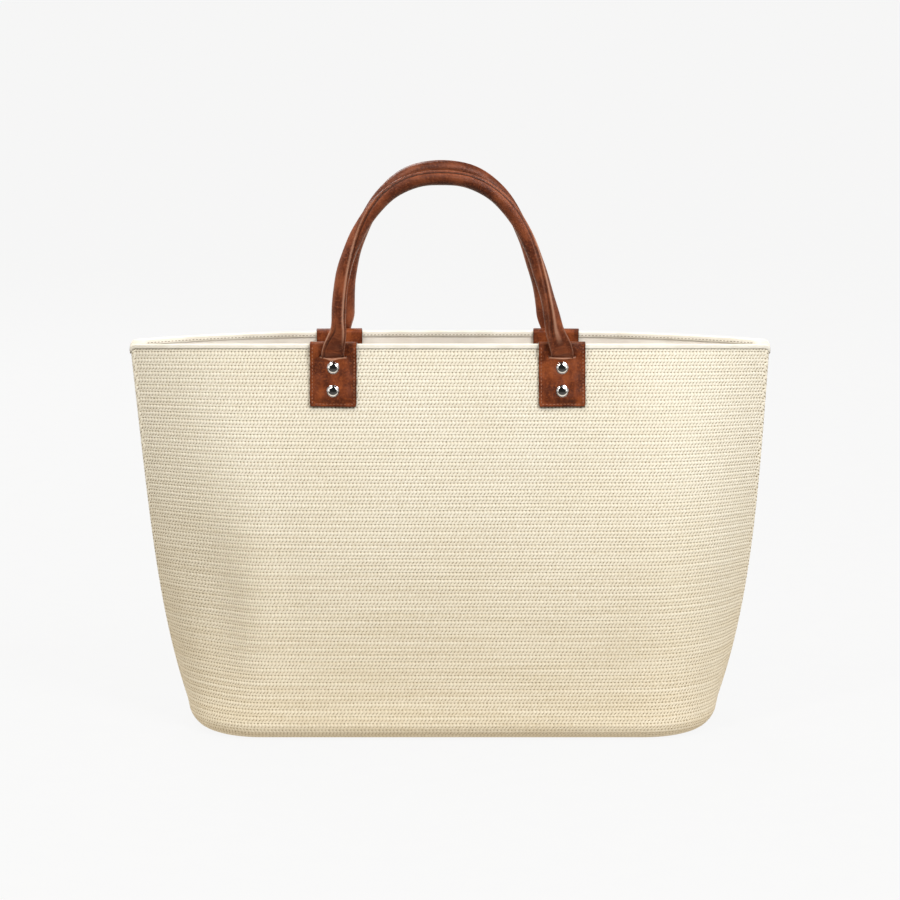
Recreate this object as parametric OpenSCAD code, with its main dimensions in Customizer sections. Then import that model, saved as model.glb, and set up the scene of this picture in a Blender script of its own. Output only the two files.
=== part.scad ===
// Straw tote beach bag with two rolled leather handles.
// Millimetres. +Z is up, +X runs along the bag's width and the front faces -Y.
// The origin is the middle of the base, on the surface that the bag stands on.
// An inset is a distance inwards from the outer face of the straw cloth.

/* [Body] */
// Width of the mouth, from side seam to side seam
mouth_w = 524; // [500:1:540]
// Gap of the mouth from front to back, at its middle
mouth_d = 80; // [76:1:90]
// Height of the rim at its middle
body_h = 321; // [300:1:350]
// Width of the base
base_w = 433; // [420:1:450]
// Depth of the base
base_d = 157; // [150:1:170]
// Radius of the base's corners, seen from above
base_corner_r = 60; // [50:1:62]
// Radius of the bend between the walls and the base
base_bend_r = 14.5; // [14:0.5:18]
// How far the front rim dips from its middle to the side seams
front_rim_dip = 6; // [0:0.5:8]
// How far the back rim dips from its middle to the side seams
back_rim_dip = 2; // [0:0.5:8]
// Share of the sides' flare that is spread evenly up the wall; the rest is near the base
even_flare = 0.5; // [0.3:0.05:1]
// How near the base the rest of the flare lies
low_flare = 3.9; // [2:0.1:5]
// Thickness of the woven straw cloth
straw_t = 2; // [1.8:0.1:2]

/* [Lining and base] */
// Thickness of the cotton lining
lining_t = 0.8; // [0.6:0.1:0.8]
// Thickness of the stiffening board in the base
board_t = 1.2; // [1:0.1:1.2]
// Thickness of the rim's binding
binding_t = 0.6; // [0.4:0.1:0.6]
// Height of the binding's outer and inner legs
binding_leg = 4; // [3:0.5:5]

/* [Tabs] */
// Distance between the two front tabs, from middle to middle
front_tab_gap = 185; // [180:1:190]
// Distance between the two back tabs, from middle to middle
back_tab_gap = 181; // [180:1:190]
// How far all the tabs and handles sit to the left of the middle
tab_shift = 1.9; // [0:0.1:2.5]
// Width of a tab
tab_w = 38; // [34:1:42]
// How far a tab hangs below the rim
tab_drop = 50; // [48:1:54]
// Thickness of the tab leather
tab_t = 1.3; // [1:0.1:1.4]
// Depth of the slit below the rim
slit_drop = 9.5; // [9:0.5:10]
// Width of the slit
slit_w = 22; // [21:0.5:24]

/* [Rivets] */
// Diameter of a rivet's domed head
rivet_d = 10; // [9:0.5:11]
// Height of the dome
rivet_h = 2.2; // [1.8:0.1:2.2]
// Depth of the upper rivet below the rim
rivet_drop = 18.5; // [18:0.5:19]
// Distance between the two rivets of a tab
rivet_gap = 18.7; // [18:0.1:19]

/* [Handles] */
// Diameter of the rolled grip
grip_d = 11.5; // [10:0.5:12]
// Thickness of the handle leather
grip_leather_t = 1.5; // [1.2:0.1:1.6]
// Diameter of the cord in the grip
core_d = 8; // [7:0.1:8]
// Width of the flat ends
strap_w = 18; // [16:0.5:19]
// Thickness of the flat ends
strap_t = 1.8; // [1.6:0.1:1.9]
// Height of the arch, from the slits to the grip's middle
arch_h = 145; // [135:1:150]
// Width of the front handle's arch, from leg to leg
front_arch_w = 176; // [164:1:184]
// Width of the back handle's arch, from leg to leg
back_arch_w = 167; // [164:1:184]
// How far the grips lean to the left as they rise
grip_lean = 5; // [0:0.5:6]

/* [Hidden] */
$fn = 48;

STRAW = [0.90, 0.86, 0.77];
BINDING = [0.90, 0.87, 0.82];
COTTON = [0.84, 0.81, 0.77];
BOARD = [0.45, 0.42, 0.38];
TAB_LEATHER = [0.48, 0.30, 0.22];
GRIP_LEATHER = [0.52, 0.32, 0.23];
CHROME = [0.85, 0.86, 0.88];
CORD = [0.88, 0.85, 0.78];

// Clear space between two layers of cloth, and round the plates in the base
layer_gap = 0.3;
plate_gap = 0.9;
seam_gap = 0.1;
lining_inset = straw_t + layer_gap;
board_z = straw_t + layer_gap;
lining_base_z = board_z + board_t + layer_gap;
// The lining's walls start part way up the bend, where they meet its floor
lining_start_angle = 25;
lining_base_inset = base_bend_r - (base_bend_r - lining_inset - lining_t) * sin(lining_start_angle)
    + plate_gap;
binding_gap = 0.2;
binding_inner_inset = lining_inset + lining_t + binding_gap;

// The mouth is a pointed lens. Its tip half-angle, and how much its edge outgrows its width
tip_slope = 3 * mouth_d / mouth_w;
tip_sine = sin(atan(tip_slope));
edge_spread = tip_slope * tip_slope / 10;

// Where the base's front edge turns into its corner and the corner into its side,
// as fractions of the way from the front's middle to the side seam
base_front = base_w / 2 - base_corner_r;
base_bend = base_corner_r * PI / 2;
base_side = base_d / 2 - base_corner_r;
base_path = base_front + base_bend + base_side;
corner_start = base_front / base_path;
corner_end = (base_front + base_bend) / base_path;

front_steps = 6;
corner_steps = 6;
side_steps = 2;
bend_steps = 4;
wall_steps = 6;
half_columns = concat(
    [for (i = [0:front_steps - 1]) corner_start * i / front_steps],
    [for (i = [0:corner_steps - 1]) corner_start + (corner_end - corner_start) * i / corner_steps],
    [for (i = [0:side_steps]) corner_end + (1 - corner_end) * i / side_steps]
);
last_column = len(half_columns) - 1;
columns = concat([for (i = [last_column:-1:1]) -half_columns[i]], half_columns);

// Layers of a tab, measured from the outer face of the wall at the rim
tail_low = 0.2;
tab_low = tail_low + strap_t + 0.2;
tab_face = tab_low + tab_t;
tab_inner_inset = binding_inner_inset + binding_t + 0.45;
tab_back = tab_inner_inset + tab_t;
tab_rise = binding_t + 0.8;
tab_bend_r = 1;
slit_h = 3;
tail_top = slit_drop + 1.5;
tail_end = rivet_drop + rivet_gap + 7;
post_r = 1.5;
hole_r = 1.6;
cap_d = 9;
cap_h = 1.4;
cap_bore = 0.9;

// Where a handle bends as it leaves its slit, and how far the grip stands off in front of it
fold_out = tab_face + strap_t / 2 + 0.7;
grip_out = 2.5;
grip_out_rise = 14;
strap_end_rise = 25;
lean_rise = 79;
arch_side_power = 0.84;
round_from = 8;
round_over = 32;
core_from = 44;
grip_sides = 12;
core_sides = 10;
grip_steps = 40;
seam_angle = 2;

function smooth(x) = let (c = min(1, max(0, x))) c * c * (3 - 2 * c);

function rim_dip(face) = face < 0 ? front_rim_dip : back_rim_dip;

// A point of the base's outline: fraction s runs from 0 at the front's middle to 1 at the side seam
function base_point(s, inset) =
    let (
        w = base_w / 2 - inset,
        h = base_d / 2 - inset,
        r = base_corner_r - inset,
        front = w - r,
        bend = r * PI / 2,
        side = h - r,
        along = s * (front + bend + side),
        angle = (along - front) / r * 180 / PI
    )
    along < front ? [along, -h]
    : along < front + bend ? [front + r * sin(angle), -side - r * cos(angle)]
    : [w, along - front - bend - side];

// A point of the mouth's outline at the same fraction
function rim_point(s, inset) =
    let (x = (1 + edge_spread) * s - edge_spread * pow(s, 5))
    [(mouth_w / 2 - inset / tip_sine) * x, -(mouth_d / 2 - inset) * (1 - pow(x, 3))];

// A point of the front wall: u runs from -1 at the left seam to 1 at the right seam, and z is its
// height at the bag's middle. The back wall is the same, mirrored, with its own dip up to the seam
function wall_point(u, z, inset, dip = front_rim_dip) =
    let (
        s = abs(u),
        t = z / body_h,
        low = base_point(s, inset),
        high = rim_point(s, inset),
        flare = even_flare * t + (1 - even_flare) * (1 - pow(max(0, 1 - t), low_flare)),
        x = low.x + (high.x - low.x) * flare,
        at_seam = (front_rim_dip - dip) * pow(s, 60)
    )
    [u < 0 ? -x : x, low.y + (high.y - low.y) * t, t * (body_h - dip * pow(s, 3) - at_seam)];

// Heights and insets of one face of a wall layer: up round the base's bend, then up the wall
function layer_rows(inset, start_angle, top) =
    let (r = base_bend_r - inset)
    concat(
        [for (i = [0:bend_steps])
            let (angle = start_angle + (90 - start_angle) * i / bend_steps)
            [base_bend_r - r * cos(angle), base_bend_r - r * sin(angle)]],
        [for (i = [1:wall_steps]) [base_bend_r + (top - base_bend_r) * i / wall_steps, inset]]
    );

// Two triangles between the four corners of a patch
function patch(a, b, c, d) = [[a, b, c], [a, c, d]];

// A closed sheet between an outer and an inner grid of points, both with rows x cols points
module sheet(outer, inner, rows, cols) {
    size = rows * cols;
    last = rows - 1;
    end = cols - 1;
    faces = [
        for (i = [0:last - 1], j = [0:end - 1])
            let (a = i * cols + j, b = a + cols)
            each concat(
                patch(a, b, b + 1, a + 1),
                patch(size + a, size + a + 1, size + b + 1, size + b)
            ),
        for (j = [0:end - 1])
            let (top = last * cols + j)
            each concat(
                patch(j, j + 1, size + j + 1, size + j),
                patch(top + 1, top, size + top, size + top + 1)
            ),
        for (i = [0:last - 1])
            let (a = i * cols, b = a + end)
            each concat(
                patch(a + cols, a, size + a, size + a + cols),
                patch(b, b + cols, size + b + cols, size + b)
            )
    ];
    polyhedron(points = concat(outer, inner), faces = faces);
}

// Half of the bag's wall as a layer between two insets
module cloth_wall(face, outer_inset, inner_inset, start_angle, top) {
    dip = rim_dip(face);
    outer_rows = layer_rows(outer_inset, start_angle, top);
    inner_rows = layer_rows(inner_inset, start_angle, top);
    outer = [for (row = outer_rows, u = columns) half_point(wall_point(u, row[0], row[1], dip))];
    inner = [for (row = inner_rows, u = columns) half_point(wall_point(u, row[0], row[1], dip))];
    mirror([0, face > 0 ? 1 : 0, 0]) sheet(outer, inner, len(outer_rows), len(columns));
}

// The same point, kept just short of the plane where the two halves are sewn together
function half_point(p) = [p.x, min(p.y, -seam_gap), p.z];

// A flat plate with the base's outline
module base_plate(inset, z, thickness) {
    x = base_front;
    y = base_side;
    r = base_corner_r - inset;
    translate([0, 0, z])
        linear_extrude(thickness)
            union() {
                square([2 * (x + r), 2 * y], center = true);
                square([2 * x, 2 * (y + r)], center = true);
                for (sx = [-1, 1], sy = [-1, 1])
                    translate([sx * x, sy * y]) circle(r);
            }
}

// A ring of points that closes on itself, swept from the first ring to the last
module swept(rings, closed) {
    n = len(rings[0]);
    count = len(rings);
    half = n / 2;
    sides = [
        for (i = [0:count - (closed ? 1 : 2)], j = [0:n - 1])
            let (a = i * n, b = (i + 1) % count * n, k = (j + 1) % n)
            each patch(a + j, a + k, b + k, b + j)
    ];
    // The ends are strips of patches between the ring's two halves
    ends = closed ? [] : [
        for (j = [0:half - 2])
            let (k = n - 1 - j, z = (count - 1) * n)
            each concat(
                patch(j, k, k - 1, j + 1),
                patch(z + j, z + j + 1, z + k - 1, z + k)
            )
    ];
    polyhedron(points = [for (ring = rings) each ring], faces = concat(sides, ends));
}

// Puts its children where a tab sits on the wall: X along the rim, Y inwards, Z up the wall
function tab_gap(face) = face < 0 ? front_tab_gap : back_tab_gap;
function tab_fraction(gap) = gap / 2 / (mouth_w / 2 * (1 + edge_spread));
function tab_place(gap) = wall_point(tab_fraction(gap), body_h, 0);
function tab_yaw(gap) = atan(tip_slope * pow(gap / mouth_w, 2));
function tab_lean(gap) =
    let (s = tab_fraction(gap)) atan((rim_point(s, 0).y - base_point(s, 0).y) / body_h);

module at_tab(side, face) {
    gap = tab_gap(face);
    translate([-tab_shift, 0, 0])
        mirror([side < 0 ? 1 : 0, 0, 0])
            mirror([0, face > 0 ? 1 : 0, 0])
                translate(tab_place(gap))
                    rotate([0, 0, tab_yaw(gap)])
                        rotate([-tab_lean(gap), 0, 0])
                            children();
}

module along_rim(width) {
    translate([-width / 2, 0, 0]) rotate([90, 0, 90]) linear_extrude(width) children();
}

// Rectangle with its two top corners rounded, from inset a to inset b
module folded_outline(a, b, top, r) {
    w = b - a;
    translate([a, -tab_drop]) {
        square([w, tab_drop + top - r]);
        translate([r, 0]) square([w - 2 * r, tab_drop + top]);
        for (x = [r, w - r])
            translate([x, tab_drop + top - r]) circle(r);
    }
}

module tab_holes(r) {
    for (i = [0, 1])
        translate([0, 0, -rivet_drop - i * rivet_gap])
            rotate([90, 0, 0])
                cylinder(h = 40, r = r, center = true);
}

module tab(side, face) {
    color(TAB_LEATHER)
        at_tab(side, face)
            difference() {
                along_rim(tab_w)
                    difference() {
                        folded_outline(-tab_face, tab_back, tab_rise + tab_t, tab_bend_r + tab_t);
                        translate([0, -1])
                            folded_outline(-tab_low, tab_inner_inset, tab_rise + 1, tab_bend_r);
                    }
                tab_holes(hole_r);
                translate([0, -tab_face, -slit_drop])
                    rotate([90, 0, 0])
                        linear_extrude(3 * tab_t, center = true)
                            union() {
                                square([slit_w - slit_h, slit_h], center = true);
                                for (x = [-1, 1])
                                    translate([x * (slit_w - slit_h) / 2, 0]) circle(slit_h / 2);
                            }
            }
}

// Domed disc of radius r and height h, as a half profile
module dome_profile(r, h) {
    dome_r = (r * r + h * h) / (2 * h);
    intersection() {
        translate([0, h - dome_r]) circle(dome_r, $fn = 96);
        square([r, h]);
    }
}

module rivets(side, face) {
    post = tab_face + tab_back + cap_bore - 0.1;
    color(CHROME)
        at_tab(side, face)
            for (i = [0, 1])
                translate([0, -tab_face, -rivet_drop - i * rivet_gap])
                    rotate([90, 0, 0])
                        rotate_extrude()
                            union() {
                                dome_profile(rivet_d / 2, rivet_h);
                                translate([0, -post]) square([post_r, post + rivet_h / 2]);
                            }
}

module rivet_caps(side, face) {
    color(CHROME)
        at_tab(side, face)
            for (i = [0, 1])
                translate([0, tab_back, -rivet_drop - i * rivet_gap])
                    rotate([-90, 0, 0])
                        rotate_extrude()
                            difference() {
                                dome_profile(cap_d / 2, cap_h);
                                translate([-1, -1]) square([1 + hole_r, 1 + cap_bore]);
                            }
}

module handle_tail(side, face) {
    color(GRIP_LEATHER)
        at_tab(side, face)
            difference() {
                translate([-strap_w / 2, -tail_low - strap_t, -tail_end])
                    cube([strap_w, strap_t, tail_end - tail_top]);
                tab_holes(hole_r);
            }
}

module wall_panel(face) {
    color(STRAW)
        difference() {
            cloth_wall(face, 0, straw_t, 0, body_h);
            for (side = [-1, 1])
                at_tab(side, face) tab_holes(hole_r);
        }
}

module lining_wall(face) {
    color(COTTON)
        difference() {
            cloth_wall(face, lining_inset, lining_inset + lining_t, lining_start_angle, body_h - 0.6);
            for (side = [-1, 1])
                at_tab(side, face) tab_holes(hole_r);
        }
}

module rim_binding() {
    out = binding_t + binding_gap;
    back = binding_inner_inset + binding_t;
    soft = 0.4;
    // Inset and height above the rim, round the folded strip: up outside, over and down inside
    section = [
        [-out, -binding_leg], [-out, binding_t - soft], [soft - out, binding_t],
        [back - soft, binding_t], [back, binding_t - soft], [back, -binding_leg],
        [binding_inner_inset, -binding_leg], [binding_inner_inset, 0.05],
        [-binding_gap, 0.05], [-binding_gap, -binding_leg]
    ];
    front = [for (u = columns) [for (p = section) band_point(u, p, front_rim_dip)]];
    back_columns = [for (i = [len(columns) - 2:-1:1]) columns[i]];
    rear = [for (u = back_columns)
        [for (p = section) let (q = band_point(u, p, back_rim_dip)) [q.x, -q.y, q.z]]];
    color(BINDING) swept(concat(front, rear), true);
}

// A point of the binding: an inset and a height above the rim, straight up or down along the wall
function band_point(u, p, dip) =
    p[1] > 0 ? wall_point(u, body_h, p[0], dip) + [0, 0, p[1]]
    : wall_point(u, body_h + p[1], p[0], dip);

// A handle's middle line, from the fold at its right slit over to the left one, as on the front.
// X and Z are measured from the middle of the line through the two folds, Y forwards is negative.
function arch_angle(i) = 90 * (1 - cos(180 * i / grip_steps));
function arch_point(angle, face) =
    let (
        c = cos(angle),
        half_w = (face < 0 ? front_arch_w : back_arch_w) / 2,
        x = pow(abs(c), arch_side_power) * half_w,
        z = sin(angle) * arch_h,
        spread = (fold(face).x - half_w) * (1 - smooth(z / strap_end_rise))
    )
    [
        (c < 0 ? -x - spread : x + spread) - grip_lean * smooth(z / lean_rise),
        -grip_out * smooth(z / grip_out_rise),
        z
    ];

// Unit vector across the handle in its own plane, pointing away from the arch's inside
function arch_across(angle, face) =
    let (
        a = arch_point(max(0, angle - 1), face),
        b = arch_point(min(180, angle + 1), face),
        run = norm([b.x - a.x, b.z - a.z])
    )
    [(b.z - a.z) / run, 0, (a.x - b.x) / run];

// The slit of a handle: half the distance between its folds, and where their line lies
function fold_place(gap) =
    let (p = tab_place(gap), lean = tab_lean(gap), yaw = tab_yaw(gap))
    [
        p.x + fold_out * sin(yaw),
        p.y - slit_drop * sin(lean) - fold_out * cos(lean) * cos(yaw),
        p.z - slit_drop * cos(lean) + fold_out * sin(lean)
    ];
front_fold = fold_place(front_tab_gap);
back_fold = fold_place(back_tab_gap);
function fold(face) = face < 0 ? front_fold : back_fold;

// The rolled leather's section: round its outer face, and back round its inner face
function leather_ring(angle, face) =
    let (
        p = arch_point(angle, face),
        across = arch_across(angle, face),
        widening = 1 - smooth(p.z / (round_from + round_over)),
        flatness = 1 - smooth((p.z - round_from) / round_over),
        w = grip_d / 2 + (strap_w - grip_d) / 2 * widening,
        h = grip_d / 2 + (strap_t - grip_d) / 2 * flatness,
        t = grip_leather_t + (strap_t / 2 - 0.1 - grip_leather_t) * flatness,
        turn = (180 - seam_angle) / (grip_sides / 2)
    )
    concat(
        [for (j = [-grip_sides / 2:grip_sides / 2])
            p + across * w * sin(j * turn) + [0, -h * cos(j * turn), 0]],
        [for (j = [grip_sides / 2:-1:-grip_sides / 2])
            p + across * (w - t) * sin(j * turn) + [0, (t - h) * cos(j * turn), 0]]
    );

function core_ring(angle, face) =
    let (p = arch_point(angle, face), across = arch_across(angle, face), turn = 360 / core_sides)
    [for (j = [0:core_sides - 1])
        p + across * core_d / 2 * sin((j + 0.5) * turn) + [0, -core_d / 2 * cos((j + 0.5) * turn), 0]];

module at_fold(face) {
    mirror([0, face > 0 ? 1 : 0, 0])
        translate([-tab_shift, fold(face).y, fold(face).z])
            children();
}

module handle_leather(face) {
    color(GRIP_LEATHER)
        at_fold(face)
            swept([for (i = [0:grip_steps]) leather_ring(arch_angle(i), face)], false);
}

module handle_core(face) {
    color(CORD)
        at_fold(face)
            swept([
                for (i = [0:grip_steps])
                    if (arch_point(arch_angle(i), face).z > core_from)
                        core_ring(arch_angle(i), face)
            ], false);
}

module base_panel() { color(STRAW) base_plate(base_bend_r + plate_gap, 0, straw_t); }
module base_board() { color(BOARD) base_plate(base_bend_r + plate_gap, board_z, board_t); }
module lining_base() { color(COTTON) base_plate(lining_base_inset, lining_base_z, lining_t); }

wall_panel(-1);  // front_panel
wall_panel(1);  // back_panel
base_panel();
base_board();
lining_wall(-1);  // lining_front
lining_wall(1);  // lining_back
lining_base();
rim_binding();
tab(-1, -1);  // front_left_tab
tab(1, -1);  // front_right_tab
tab(-1, 1);  // back_left_tab
tab(1, 1);  // back_right_tab
rivets(-1, -1);  // front_left_rivets
rivets(1, -1);  // front_right_rivets
rivets(-1, 1);  // back_left_rivets
rivets(1, 1);  // back_right_rivets
rivet_caps(-1, -1);  // front_left_rivet_caps
rivet_caps(1, -1);  // front_right_rivet_caps
rivet_caps(-1, 1);  // back_left_rivet_caps
rivet_caps(1, 1);  // back_right_rivet_caps
handle_tail(-1, -1);  // front_handle_left_tail
handle_tail(1, -1);  // front_handle_right_tail
handle_tail(-1, 1);  // back_handle_left_tail
handle_tail(1, 1);  // back_handle_right_tail
handle_leather(-1);  // front_handle_leather
handle_core(-1);  // front_handle_core
handle_leather(1);  // back_handle_leather
handle_core(1);  // back_handle_core
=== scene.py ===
# %% [markdown]
# # A straw beach bag with two rolled leather handles
# This lesson dresses a measured model of the bag. The model's pieces arrive as a fixed frame, and every
# piece made here is laid over one of them: woven straw walls, a cotton lining, leather tabs, chrome rivets
# and rolled handles that come up out of slits in the tabs.

# %% Load the measured frame
import math

import bmesh
import bpy
import numpy as np
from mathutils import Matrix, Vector


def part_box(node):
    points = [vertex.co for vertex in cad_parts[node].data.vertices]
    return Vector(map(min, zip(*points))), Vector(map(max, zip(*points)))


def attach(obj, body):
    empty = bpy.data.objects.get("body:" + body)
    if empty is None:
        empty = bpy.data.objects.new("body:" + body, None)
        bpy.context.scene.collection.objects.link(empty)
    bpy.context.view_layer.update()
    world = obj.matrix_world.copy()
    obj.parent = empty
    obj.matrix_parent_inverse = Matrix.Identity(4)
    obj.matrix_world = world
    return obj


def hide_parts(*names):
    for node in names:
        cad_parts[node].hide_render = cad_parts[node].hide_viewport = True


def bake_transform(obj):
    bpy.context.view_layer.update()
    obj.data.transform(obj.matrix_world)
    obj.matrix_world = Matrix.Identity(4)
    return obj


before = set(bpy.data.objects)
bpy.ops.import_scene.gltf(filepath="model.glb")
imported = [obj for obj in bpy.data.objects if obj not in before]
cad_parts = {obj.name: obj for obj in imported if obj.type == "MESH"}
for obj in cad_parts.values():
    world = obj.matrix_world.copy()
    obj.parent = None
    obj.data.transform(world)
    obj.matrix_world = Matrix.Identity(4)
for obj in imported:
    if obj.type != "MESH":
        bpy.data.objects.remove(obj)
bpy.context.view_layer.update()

# %% [markdown]
# ## Camera
# The bag is seen from straight in front and a little above, with a long lens that keeps its sides almost
# parallel. Aiming the camera along a vector is surer than turning it by hand, because the same
# vector then says how far the view looks down.

# %% Set up the camera
camera_data = bpy.data.cameras.new("camera")
camera_data.sensor_width = 36
camera_data.lens = 121.5
camera = bpy.data.objects.new("camera", camera_data)
camera.location = (0, -2.476, 0.673)
view_direction = Vector((0, 0.9842, -0.1771))
camera.rotation_euler = view_direction.to_track_quat("-Z", "Y").to_euler()
bpy.context.collection.objects.link(camera)
bpy.context.scene.camera = camera
print("the view looks down by", round(math.degrees(math.asin(-view_direction.z)), 1), "degrees")

# %% [markdown]
# ## Small helpers for shader nodes
# A finish is a tree of nodes. These helpers add one node and wire it in a single line, so that a finish
# below reads like a recipe. A socket that is given a number keeps it, and one that is given another
# node's output is linked to it.

# %% Helpers for shader nodes
def feed(tree, socket, value):
    if isinstance(value, bpy.types.NodeSocket):
        tree.links.new(value, socket)
    else:
        socket.default_value = value


def maths(tree, operation, *values):
    node = tree.nodes.new("ShaderNodeMath")
    node.operation = operation
    for socket, value in zip(node.inputs, values):
        feed(tree, socket, value)
    return node.outputs[0]


def plus(tree, first, second):
    return maths(tree, "ADD", first, second)


def minus(tree, first, second):
    return maths(tree, "SUBTRACT", first, second)


def times(tree, first, second):
    return maths(tree, "MULTIPLY", first, second)


def split(tree, place):
    node = tree.nodes.new("ShaderNodeSeparateXYZ")
    feed(tree, node.inputs[0], place)
    return node.outputs


def fade(tree, value, start, end, low=0.0, high=1.0):
    """Goes smoothly from low to high while the value goes from start to end."""
    node = tree.nodes.new("ShaderNodeMapRange")
    node.interpolation_type = "SMOOTHSTEP"
    for name, given in zip(("Value", "From Min", "From Max", "To Min", "To Max"),
                           (value, start, end, low, high)):
        feed(tree, node.inputs[name], given)
    return node.outputs[0]


def mix_colours(tree, share, first, second):
    node = tree.nodes.new("ShaderNodeMix")
    node.data_type = "RGBA"
    feed(tree, node.inputs[0], share)
    feed(tree, node.inputs[6], first if isinstance(first, bpy.types.NodeSocket) else (*first, 1))
    feed(tree, node.inputs[7], second if isinstance(second, bpy.types.NodeSocket) else (*second, 1))
    return node.outputs[2]


def noise(tree, place, scale, detail=2.0, roughness=0.5):
    node = tree.nodes.new("ShaderNodeTexNoise")
    feed(tree, node.inputs["Vector"], place)
    node.inputs["Scale"].default_value = scale
    node.inputs["Detail"].default_value = detail
    node.inputs["Roughness"].default_value = roughness
    return node.outputs[0]


def stretched(tree, place, x, y, z):
    node = tree.nodes.new("ShaderNodeMapping")
    feed(tree, node.inputs["Vector"], place)
    node.inputs["Scale"].default_value = (x, y, z)
    return node.outputs[0]


def bump(tree, height, distance):
    node = tree.nodes.new("ShaderNodeBump")
    node.inputs["Distance"].default_value = distance
    feed(tree, node.inputs["Height"], height)
    return node.outputs[0]


def cloth_map(tree, name):
    node = tree.nodes.new("ShaderNodeUVMap")
    node.uv_map = name
    return node.outputs[0]


def body_place(tree):
    return tree.nodes.new("ShaderNodeTexCoord").outputs["Object"]


def painted(tree, name):
    """Reads a value that is stored on the points of the mesh."""
    node = tree.nodes.new("ShaderNodeAttribute")
    node.attribute_name = name
    return node.outputs["Fac"]


def start_finish(name):
    finish = bpy.data.materials.new(name)
    finish.use_nodes = True
    return finish, finish.node_tree, finish.node_tree.nodes["Principled BSDF"]


# %% [markdown]
# ## Floor, sky and lamps
# A product like this stands on a pale sweep of paper in soft light from the upper right. The floor glows
# by itself, so that it looks as pale as the sky all the way to the bag's foot. What it throws back on the
# bag is set apart from how it looks: a little warm light, most of it near the foot. Polished metal shows
# its surroundings, so for mirrors the floor is bright close to the bag and dark farther in front, and the
# sky is dark apart from bright walls at its two sides. That gives a rivet its crisp dark and bright parts.
# Soft light comes from the sky above, a large lamp on the right, a narrow one on the left and a weak
# one behind.

# %% Lay the floor
PAPER_WHITE = 0.93


def make_floor(half=60.0):
    finish, tree, shader = start_finish("paper_floor")
    grain = noise(tree, body_place(tree), 40.0)
    shader.inputs["Base Color"].default_value = (0.035, 0.035, 0.035, 1)
    shader.inputs["Roughness"].default_value = 1.0
    shader.inputs["Specular IOR Level"].default_value = 0.0
    y = split(tree, body_place(tree))[1]
    ray = tree.nodes.new("ShaderNodeLightPath")
    seen = ray.outputs["Is Camera Ray"]
    at_foot = fade(tree, y, -0.17, -0.10, 0.0, 0.45)
    before = fade(tree, y, -0.60, -0.25, 0.04, 0.27)
    bounced = plus(tree, before, at_foot)
    shine = fade(tree, y, -0.40, -0.26, 0.0, 0.8)
    ahead = plus(tree, bounced, times(tree, ray.outputs["Is Glossy Ray"], shine))
    warm, white = (1.0, 0.90, 0.76), (1.0, 1.0, 1.0)
    feed(tree, shader.inputs["Emission Color"], mix_colours(tree, seen, warm, white))
    looks = times(tree, seen, fade(tree, grain, 0.2, 0.8, 0.893, 0.897))
    throws = times(tree, minus(tree, 1.0, seen), ahead)
    feed(tree, shader.inputs["Emission Strength"], plus(tree, looks, throws))
    corners = [(-half, -half, 0), (half, -half, 0), (half, half, 0), (-half, half, 0)]
    mesh = bpy.data.meshes.new("floor")
    mesh.from_pydata(corners, [], [(0, 1, 2, 3)])
    mesh.materials.append(finish)
    floor = bpy.data.objects.new("floor", mesh)
    floor.location.z = -0.0002
    bpy.context.collection.objects.link(floor)
    return floor


print("floor:", make_floor().name)

# %% Hang the sky
def make_sky():
    sky = bpy.data.worlds.new("studio_sky")
    bpy.context.scene.world = sky
    sky.use_nodes = True
    tree = sky.node_tree
    seen = tree.nodes["Background"]
    seen.inputs["Color"].default_value = (PAPER_WHITE, PAPER_WHITE, PAPER_WHITE, 1)
    lit = tree.nodes.new("ShaderNodeBackground")
    x, y, z = split(tree, tree.nodes.new("ShaderNodeTexCoord").outputs["Generated"])
    above = fade(tree, z, 0.0, 0.8, 0.28, 0.95)
    behind = fade(tree, y, -1.0, 0.3, 0.85, 1.0)
    soft = times(tree, above, behind)
    walls = fade(tree, maths(tree, "ABSOLUTE", x), 0.60, 0.72, 0.02, 1.3)
    ray = tree.nodes.new("ShaderNodeLightPath")
    mirrored = ray.outputs["Is Glossy Ray"]
    for_mirrors = times(tree, mirrored, walls)
    for_the_rest = times(tree, minus(tree, 1.0, mirrored), soft)
    feed(tree, lit.inputs["Strength"], plus(tree, for_mirrors, for_the_rest))
    lit.inputs["Color"].default_value = (1.0, 0.96, 0.89, 1)
    choice = tree.nodes.new("ShaderNodeMixShader")
    feed(tree, choice.inputs[0], ray.outputs["Is Camera Ray"])
    feed(tree, choice.inputs[1], lit.outputs[0])
    feed(tree, choice.inputs[2], seen.outputs[0])
    feed(tree, tree.nodes["World Output"].inputs["Surface"], choice.outputs[0])


make_sky()
bpy.context.scene.view_settings.view_transform = "Standard"
print("sky colour:", PAPER_WHITE)

# %% Place the lamps
def add_lamp(name, place, aim, size, power, tint=(1, 1, 1)):
    data = bpy.data.lights.new(name, "AREA")
    data.shape = "RECTANGLE"
    data.size, data.size_y = size
    data.energy = power
    data.color = tint
    lamp = bpy.data.objects.new(name, data)
    lamp.location = place
    lamp.rotation_euler = (Vector(aim) - Vector(place)).to_track_quat("-Z", "Y").to_euler()
    bpy.context.collection.objects.link(lamp)


middle = (0, 0, 0.22)
add_lamp("key", (0.95, -1.15, 1.55), middle, (0.7, 0.9), 28)
add_lamp("left_strip", (-0.75, -0.85, 1.50), middle, (0.25, 0.8), 12, (1.0, 0.95, 0.87))
add_lamp("back_fill", (-0.8, 2.0, 1.6), middle, (1.2, 1.0), 22)
print("lamps:", len(bpy.data.lights))

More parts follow.
